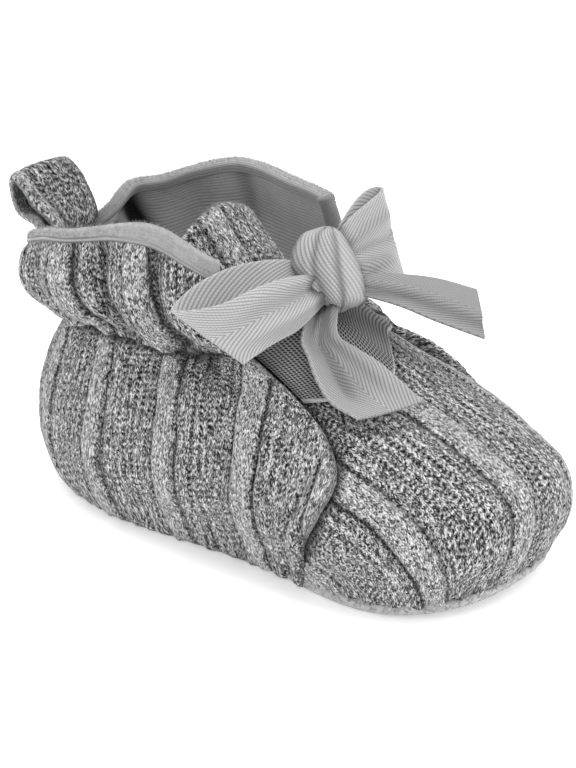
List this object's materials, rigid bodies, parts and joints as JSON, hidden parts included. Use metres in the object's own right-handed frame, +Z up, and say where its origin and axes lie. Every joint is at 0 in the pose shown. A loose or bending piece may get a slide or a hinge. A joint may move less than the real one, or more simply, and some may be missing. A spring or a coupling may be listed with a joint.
{
  "type": "baby bootie",
  "caption": "Soft knitted baby bootie: hollow upper with gathered ankle and flared open collar, tongue, heel pull loop, and a ribbon bow tied on the instep elastic.",
  "frame": {"origin": "middle of the sole's flat underside", "axes": "+X towards the toe, +Z up out of the collar, +Y to the wearer's left"},
  "size_m": [0.1333, 0.0663, 0.0697],
  "materials": {
    "upper": "grey marl rib knit outside, grey jersey lining inside",
    "sole": "plain grey soft sole cloth",
    "insole": "grey jersey",
    "tongue": "grey marl rib knit",
    "instep_elastic": "dark grey woven elastic",
    "pull_loop": "grey marl rib knit",
    "bow": "light grey herringbone twill tape"
  },
  "bodies": {
    "root": {"upper": "upper", "sole": "sole", "insole": "insole", "tongue": "tongue", "instep_elastic": "instep_elastic", "pull_loop": "pull_loop", "bow": "bow"}
  },
  "joints": []
}
